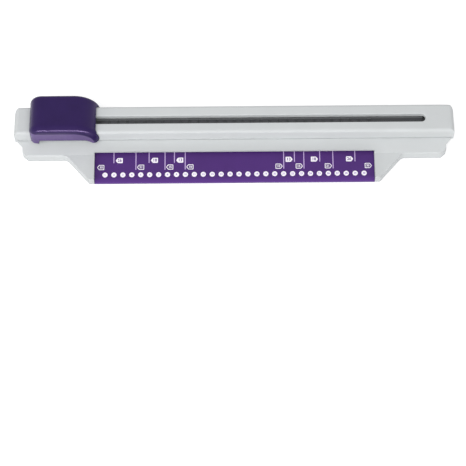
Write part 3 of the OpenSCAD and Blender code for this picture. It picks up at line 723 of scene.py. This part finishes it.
class PUNCH_OT_sheet_tags(bpy.types.Operator):
    """Print the filled and outlined tags beside the sheet lines"""

    bl_idname = "punch.sheet_tags"
    bl_label = "Print Sheet Tags"

    def execute(self, context):
        sizes = context.scene.punch_print
        solid = bmesh.new()
        rims = bmesh.new()
        for _, is_long, side, point_x in tag_places(sizes):
            tag_outline(rims if is_long else solid, point_x, side, line_end(is_long, sizes), sizes)
        thicken(solid, solid.faces[:], sizes.lift)
        whole = rims.faces[:]
        bmesh.ops.inset_individual(rims, faces=whole, thickness=sizes.tag_rim, use_even_offset=True)
        bmesh.ops.delete(rims, geom=whole, context="FACES")
        thicken(rims, rims.faces[:], sizes.lift)
        white = bpy.data.materials["print_white"]
        printed("filled_tags", solid, white, "carriage_white")
        printed("outlined_tags", rims, white, "carriage_white")
        return {"FINISHED"}


class PUNCH_OT_tag_numbers(bpy.types.Operator):
    """Print the sheet widths, in whole centimetres, in the tags"""

    bl_idname = "punch.tag_numbers"
    bl_label = "Print Tag Numbers"

    def execute(self, context):
        sizes = context.scene.punch_print
        dark = bmesh.new()
        pale = bmesh.new()
        for width, is_long, side, point_x in tag_places(sizes):
            spot = (point_x - side * sizes.tag_middle * sizes.tag_length,
                    line_end(is_long, sizes) + sizes.tag_height / 2)
            centimetres = round(width / 10)
            if is_long:
                add_number(pale, centimetres, sizes.outlined_number, spot, 0.0, sizes)
            else:
                add_number(dark, centimetres, sizes.filled_number, spot, sizes.lift, sizes)
        printed("outlined_tag_numbers", pale, bpy.data.materials["print_white"], "carriage_white")
        printed("filled_tag_numbers", dark, bpy.data.materials["apron_purple"], "apron_purple")
        return {"FINISHED"}


class PUNCH_OT_stage(bpy.types.Operator):
    """Set the floor, the light and the camera"""

    bl_idname = "punch.stage"
    bl_label = "Set Stage"

    def execute(self, context):
        scene = context.scene
        stage = scene.punch_stage
        self.floor(scene, stage)
        self.sky(scene, stage)
        self.lamps(scene, stage)
        self.camera(scene, stage)
        scene.view_settings.view_transform = "Standard"
        return {"FINISHED"}

    def floor(self, scene, stage):
        """A pale floor that shows white to the camera and keeps the object's shadow."""
        bm = bmesh.new()
        bmesh.ops.create_grid(bm, x_segments=1, y_segments=1, size=stage.floor)
        mesh = bpy.data.meshes.new("floor")
        bm.to_mesh(mesh)
        bm.free()
        finish = Finish(bpy.data.materials.new("floor_white"))
        matt = finish.node("ShaderNodeBsdfDiffuse", inputs={"Color": rgba(WHITE[:3], stage.floor_tone)})
        glow = finish.node("ShaderNodeEmission",
                           inputs={"Color": WHITE, "Strength": finish.seen(0.0, stage.floor_glow)})
        both = finish.node("ShaderNodeAddShader", inputs={0: matt, 1: glow})
        finish.node("ShaderNodeOutputMaterial", inputs={"Surface": both})
        mesh.materials.append(finish.owner)
        piece = bpy.data.objects.new("floor", mesh)
        scene.collection.objects.link(piece)

    def sky(self, scene, stage):
        """Even white light, shown as plain white to the camera and in reflections."""
        scene.world = bpy.data.worlds.new("studio")
        studio = Finish(scene.world)
        back = studio.node("ShaderNodeBackground",
                           inputs={"Color": WHITE, "Strength": studio.seen(stage.sky, 1.0)})
        studio.node("ShaderNodeOutputWorld", inputs={"Surface": back})

    def lamps(self, scene, stage):
        """A large soft lamp in front that gives no gloss, and a long low one that gives only gloss."""
        key = self.lamp(scene, "key", stage.key, stage.key_size, stage.key_place)
        key.visible_glossy = False
        strip = self.lamp(scene, "strip", stage.strip, stage.strip_size, stage.strip_place)
        strip.visible_diffuse = False

    def lamp(self, scene, name, watts, size, place):
        """A rectangular lamp that looks at the origin."""
        light = bpy.data.lights.new(name, "AREA")
        light.shape = "RECTANGLE"
        light.size, light.size_y = size
        light.energy = watts
        holder = bpy.data.objects.new(name, light)
        holder.location = place
        holder.rotation_euler = (-Vector(place)).to_track_quat("-Z", "Y").to_euler()
        scene.collection.objects.link(holder)
        return holder

    def camera(self, scene, stage):
        """The photograph's view."""
        lens = bpy.data.cameras.new("view")
        lens.lens = stage.focal_px / PICTURE_PX * lens.sensor_width
        lens.clip_end = 20.0
        holder = bpy.data.objects.new("view", lens)
        back = Vector((0.0, -math.cos(stage.elevation), math.sin(stage.elevation)))
        stand = Matrix.Translation(Vector(stage.aim) + back * stage.distance)
        tilt = Euler((math.pi / 2 - stage.elevation, 0.0, 0.0)).to_matrix().to_4x4()
        roll = Matrix.Rotation(-stage.roll, 4, "Z")
        holder.matrix_world = stand @ tilt @ roll
        scene.collection.objects.link(holder)
        scene.camera = holder


class PUNCH_PT_panel(bpy.types.Panel):
    """Lists the punch's settings and steps"""

    bl_idname = "PUNCH_PT_panel"
    bl_label = "Paper Punch"
    bl_space_type = "VIEW_3D"
    bl_region_type = "UI"
    bl_category = "Paper Punch"

    def draw(self, context):
        layout = self.layout
        for label in GROUPS:
            group = getattr(context.scene, label)
            for name in group.__annotations__:
                layout.prop(group, name)
        for step in STEPS:
            layout.operator(step.bl_idname)


STEPS = (PUNCH_OT_mouldings, PUNCH_OT_cap, PUNCH_OT_metals, PUNCH_OT_springs, PUNCH_OT_black_parts,
         PUNCH_OT_hole_dots, PUNCH_OT_dot_numbers, PUNCH_OT_sheet_lines, PUNCH_OT_sheet_tags,
         PUNCH_OT_tag_numbers, PUNCH_OT_stage)
GROUPS = {"punch_colours": PunchColours, "punch_cap": PunchCap, "punch_wear": PunchWear,
          "punch_print": PunchPrint, "punch_springs": PunchSprings, "punch_stage": PunchStage}


def register():
    """Adds the settings, operators and panel."""
    for name, group in GROUPS.items():
        bpy.utils.register_class(group)
        setattr(bpy.types.Scene, name, PointerProperty(type=group))
    for step in STEPS:
        bpy.utils.register_class(step)
    bpy.utils.register_class(PUNCH_PT_panel)


def unregister():
    """Removes the settings, operators and panel."""
    bpy.utils.unregister_class(PUNCH_PT_panel)
    for step in reversed(STEPS):
        bpy.utils.unregister_class(step)
    for name, group in GROUPS.items():
        delattr(bpy.types.Scene, name)
        bpy.utils.unregister_class(group)


def main():
    """Builds everything in order."""
    register()
    bpy.ops.punch.mouldings()
    bpy.ops.punch.cap()
    bpy.ops.punch.metals()
    bpy.ops.punch.springs()
    bpy.ops.punch.black_parts()
    bpy.ops.punch.hole_dots()
    bpy.ops.punch.dot_numbers()
    bpy.ops.punch.sheet_lines()
    bpy.ops.punch.sheet_tags()
    bpy.ops.punch.tag_numbers()
    bpy.ops.punch.stage()


if __name__ == "__main__":
    main()
